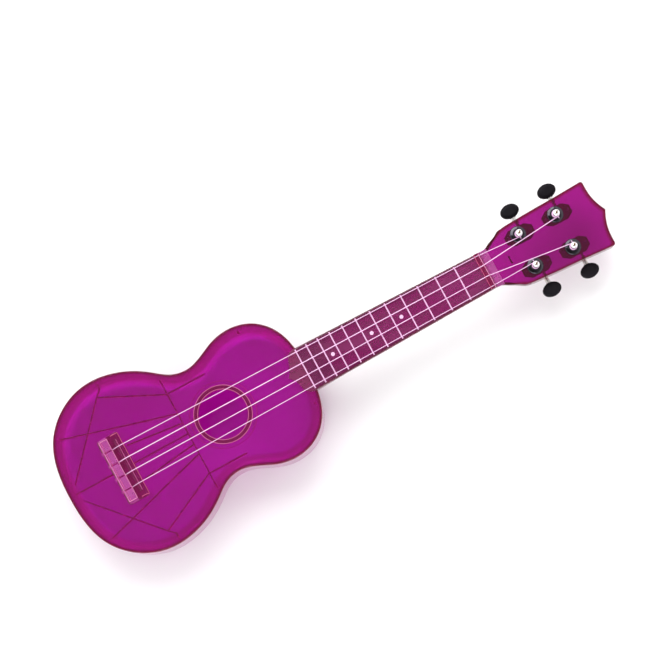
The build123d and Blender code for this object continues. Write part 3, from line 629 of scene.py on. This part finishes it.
# ---------------------------------------------------------- neck and bridge
def fill_groove(neck):
    """Draw the groove in the back of the head shallow, so it doesn't show through."""
    half_width = 3.55
    ramp_end = 21.6               # along the head, where the groove's sloping end stops
    for vertex in neck.data.vertices:
        along, above = head_place(vertex.co)
        inside = abs(vertex.co.x) < half_width * MM and 10.9 < along < 51.1
        if not (inside and -12.15 < above < -6.5):
            continue
        if along < ramp_end:
            shift = -HEAD_THICK - 0.1 - above
        elif above > -11.95:
            shift = -HEAD_THICK + 0.02 - above
        else:
            shift = 0.0
        vertex.co += HEAD_N * (shift * MM)
        vertex.co += HEAD_S * (max(0.0, 21.5 - along) * MM)


def board_slot(centre, normal):
    """0 board, 1 its end over the body (painted shade), 2 its end at the head (painted light)."""
    if centre.y < 114.55 * MM:
        return 1
    return 2 if centre.y > 293.2 * MM else 0


def build_neck():
    neck = paint(copy("neck", GAP, longest=FINE), "rim", neck_rim)
    fill_groove(neck)
    finish(neck, "neck", "neck")
    # past the neck, over the body, the board has no edge tint of painted shade
    board = paint(copy("fretboard", GAP, longest=FINE), "rim",
                  lambda place: taper_rim(place) if place.y > 114.7 * MM else 9.0)
    finish(assign(board, ["board", "board_end", "tail"], board_slot), "fretboard")


def build_fittings():
    # the bevels' rounded strips on the bridge, saddle and nut take the glow material: painted
    # highlights along their edges
    bridge = assign(copy("bridge", GAP, keep_normals=False), ["bridge", "block", "glow"],
                    lambda c, n: 1 if c.y < -64.0 * MM and c.z > 62.8 * MM else 0)
    finish(bevel(bridge, 0.55, segments=3, material=2), "bridge")
    for node, material, width in (("saddle", "bridge", 0.2), ("nut", "nut", 0.45)):
        piece = assign(copy(node, GAP, keep_normals=False), [material, "glow"])
        finish(bevel(piece, width, material=1), node)
    # the upward faces take the pale crown colour, which is partly a painted highlight
    frets = assign(copy("frets"), ["fret", "fret_side"], lambda c, n: 0 if n.z > 0.8 else 1)
    finish(frets, "frets")
    finish(copy("position_dots", GAP), "position_dots", "dot")


# ------------------------------------------------------------- edge lines
# Rods that draw lit edges: name, radius, material, points (mm)
BEADS = [
    ("block", 0.33, "glow", [(-28.5, -72.0, 66.9), (28.5, -72.0, 66.9), (28.5, -64.5, 66.9),
                             (-28.5, -64.5, 66.9), (-28.5, -72.0, 66.9)]),
    ("block_inner", 0.20, "glow_dim", [(-28.3, -70.4, 66.92), (28.3, -70.4, 66.92)]),
    ("saddle", 0.38, "glow", [(-24.6, -57.5, 68.35), (24.6, -57.5, 68.35)]),
    ("front", 0.34, "glow_dim", [(-29.3, -60.6, 66.35), (-29.4, -56.0, 66.35),
                                 (-29.8, -53.9, 63.0), (29.8, -53.9, 63.0),
                                 (29.4, -56.0, 66.35), (29.3, -60.6, 66.35)]),
    ("nut_rear", 0.36, "glow", [(-16.6, 292.1, NUT_Z - 0.55), (16.6, 292.1, NUT_Z - 0.55)]),
    ("nut_front", 0.32, "glow_dim", [(-16.6, 288.1, NUT_Z - 0.25), (16.6, 288.1, NUT_Z - 0.25)]),
]
# Rings round the sound hole: name, radius, height (mm), material. The inner and outer rings are
# painted highlights; the one under the soundboard is a painted shade line.
RINGS = [
    ("inner", 21.95, RING_Z, "glow_line"),
    ("outer", 25.35, RING_Z, "glow_line"),
    ("under", UNDER_RING_R, 57.2, "shade_line"),
]
RING_WIRE = 0.28                  # radius of the rings' own section, mm


def build_edge_lines():
    for name, radius, material, points in BEADS:
        for i, (start, end) in enumerate(zip(points, points[1:])):
            piece = rod(f"vis_edge_{name}_{i}", Vector(start) * MM, Vector(end) * MM, radius * MM)
            finish(piece, material=material)
    angles = [2 * math.pi * i / 10 for i in range(10)]
    for name, radius, height, material in RINGS:
        section = [((radius + RING_WIRE * math.cos(t)) * MM, RING_WIRE * MM * math.sin(t))
                   for t in angles]
        centre = Vector((0.0, 33.9, height)) * MM
        piece = spun(f"vis_edge_rosette_{name}", section, centre, Vector((0, 0, 1)), steps=128)
        finish(piece, material=material)


# ------------------------------------------------------ strings and tuners
def domed(centre, flat_radius, outer_radius, lean):
    """Shade a flat top as if it fell away between two radii (mm) round a post."""
    def warp(place, normal):
        if normal.dot(HEAD_N) < 0.93 or (place - centre).dot(HEAD_N) < 0.3 * MM:
            return normal
        offset = place - centre
        offset -= HEAD_N * offset.dot(HEAD_N)
        radius = offset.length / MM
        if radius < flat_radius + 1e-3:
            return normal
        share = min(1.0, (radius - flat_radius) / (outer_radius - flat_radius))
        return (HEAD_N + offset.normalized() * (lean * share)).normalized()
    return warp


def plate_slot(centre, normal):
    """1 on the side of a tuner plate that faces the head, which takes painted shade, 0 elsewhere.
    """
    faces_head = normal.dot(HEAD_N) > 0.9
    return 1 if faces_head and head_place(centre)[1] > -HEAD_THICK - 0.5 else 0


def build_string(key, x, along, button_x):
    """A string with its bushing, plate, worm and winding post."""
    worm, winder = f"worm_{key}", f"winder_{key}"
    post_foot = head_at(x, along, 0.0)

    node = f"string_{key}"
    string = copy(node, longest=6 * MM)
    # the strings' runs inside the bridge take painted shade
    in_shaded_slot = lambda c, n: 1 if c.y < -64.0 * MM else 0
    finish(assign(string, ["string", "string_shaded_in_slot"], in_shaded_slot), node)

    node = f"bushing_{key}"
    dome = domed(post_foot, flat_radius=4.6, outer_radius=7.3, lean=0.55)
    finish(copy(node, GAP, longest=1.2 * MM, warp=dome), node, "bushing")

    node = f"tuner_plate_{key}"
    plate = bevel(copy(node, GAP, keep_normals=False), 0.18)
    finish(assign(plate, ["plate", "plate_shaded_face"], plate_slot), node)

    node = f"plate_screws_{key}"
    screws = bevel(copy(node, GAP, keep_normals=False), 0.08, segments=1)
    finish(screws, node, "screw")

    for name, material in (("worm_shaft", "shaft"), ("button", "button")):
        node = f"{name}_{key}"
        finish(copy(node), node, material, worm)

    node = f"post_{key}"
    dome = domed(post_foot, flat_radius=0.0, outer_radius=2.9, lean=0.9)
    finish(copy(node, longest=0.8 * MM, warp=dome), node, "post", winder)
    # a dark disc and a dark slot on top of each post: painted shade for its string hole
    painted_hole_shade = dished_disc(f"vis_post_dimple_{key}", head_at(x - 0.2, along + 0.2, 9.5), HEAD_N,
                         radius=1.05 * MM, height=0.03 * MM)
    finish(painted_hole_shade, material="painted_hole_shade", body=winder)
    notch = rod(f"vis_post_notch_{key}", head_at(x - 0.3, along + 0.3, 9.15),
                head_at(x - 1.30, along + 1.70, 9.15), radius=0.62 * MM)
    finish(notch, material="painted_hole_shade", body=winder)

    side = 1 if x > 0 else -1
    sleeve = tube(f"vis_shaft_sleeve_{key}", head_at(side * 25.4, along + 6.5, -16.5),
                  head_at(side * (button_x - 6.3), along + 6.5, -16.5),
                  inner=1.55 * MM, outer=2.1 * MM)
    finish(sleeve, material="sleeve", body=worm)

    node = f"gear_{key}"
    gear = bevel(copy(node, keep_normals=False), 0.06, segments=1)
    finish(gear, node, "gear", winder)
    for name, material in (("gear_screw", "screw"), ("string_coil", "string")):
        node = f"{name}_{key}"
        finish(copy(node), node, material, winder)


# ------------------------------------------------------------ stage, light
def build_floor():
    half, z = 6.0, -0.0006        # metres
    mesh = bpy.data.meshes.new("floor")
    corners = [(-half, -half, z), (half, -half, z), (half, half, z), (-half, half, z)]
    mesh.from_pydata(corners, [], [(0, 1, 2, 3)])
    floor = add_object("floor", mesh)
    material, tree, shader, output, coords = new_material("floor_pale")
    cloud = noise(tree, coords, scale=3.0, detail=2.0)
    wire(tree, shader, {"Base Color": ramp(tree, cloud, [(0.3, 0.93), (0.7, 0.95)]),
                        "Roughness": 0.9, "Specular IOR Level": 0.1})
    # seen from underneath the floor is clear, so the flat back can be looked at
    below = add_node(tree, "NewGeometry").outputs["Backfacing"]
    clear = add_node(tree, "BsdfTransparent").outputs[0]
    mixed = add_node(tree, "MixShader", {0: below, 1: shader.outputs[0], 2: clear})
    wire(tree, output, {"Surface": mixed.outputs[0]})
    mesh.materials.append(material)


def build_world():
    """A light tent with a dim opening overhead, a little dimmer towards +X."""
    world = bpy.data.worlds.new("studio")
    bpy.context.scene.world = world
    world.use_nodes = True
    tree = world.node_tree
    direction = add_node(tree, "TexCoord").outputs["Generated"]
    axes = add_node(tree, "SeparateXYZ", {0: direction}).outputs
    tent = ramp(tree, axes["Z"], [(0.0, 1.0), (0.76, 1.0), (0.90, 0.32), (0.97, 0.14)])
    # x from -1..1 to 0..1
    across = add_node(tree, "Math", {0: axes["X"], 1: 0.5, 2: 0.5}, operation="MULTIPLY_ADD")
    fade = ramp(tree, across.outputs[0], [(0.0, 1.0), (0.5, 0.92), (1.0, 0.66)])
    wire(tree, tree.nodes["Background"],
         {"Color": multiply(tree, tent, fade), "Strength": 1.47})


def build_light(name, location, power):
    """A square area light aimed at the instrument."""
    data = bpy.data.lights.new(name, "AREA")
    data.shape = "RECTANGLE"
    data.size = data.size_y = 1.8
    data.energy = power
    light = add_object(name, data)
    light.location = location
    aim = (Vector((0, 0.1, 0.03)) - Vector(location)).normalized()
    light.rotation_euler = aim.to_track_quat("-Z", "Y").to_euler()


def build_camera():
    """A distant camera looking down, turned so the neck runs to the right and upwards."""
    turn = math.radians(28.33)
    target = Vector((-25.32, 147.57, 64.0)) * MM
    view = Vector((-0.114, -0.015, -1.0)).normalized()
    distance = 5.0
    field_width = 558.48 * MM     # width seen at the target
    right = view.cross(Vector((-math.cos(turn), math.sin(turn), 0))).normalized()
    up = right.cross(view).normalized()
    data = bpy.data.cameras.new("cam")
    data.sensor_width = 36.0
    data.lens = data.sensor_width * distance / field_width
    data.clip_start = 0.1
    data.clip_end = 50.0
    camera = add_object("cam", data)
    matrix = Matrix((right, up, -view)).transposed().to_4x4()
    matrix.translation = target - view * distance
    camera.matrix_world = matrix
    bpy.context.scene.camera = camera


def set_render():
    scene = bpy.context.scene
    scene.view_settings.view_transform = "Standard"
    scene.view_settings.look = "None"
    # light has to pass through many clear walls
    scene.cycles.max_bounces = 20
    scene.cycles.transmission_bounces = 18
    scene.cycles.transparent_max_bounces = 16
    scene.cycles.diffuse_bounces = 4
    scene.cycles.glossy_bounces = 6
    scene.cycles.use_denoising = True


build_body()
build_neck()
build_fittings()
build_edge_lines()
for key, (x, along, button_x) in TUNERS.items():
    build_string(key, x, along, button_x)
build_floor()
build_world()
build_light("key", location=(-1.3, 0.5, 1.9), power=38.0)
build_light("fill", location=(1.5, -0.6, 2.0), power=18.0)
build_camera()
set_render()
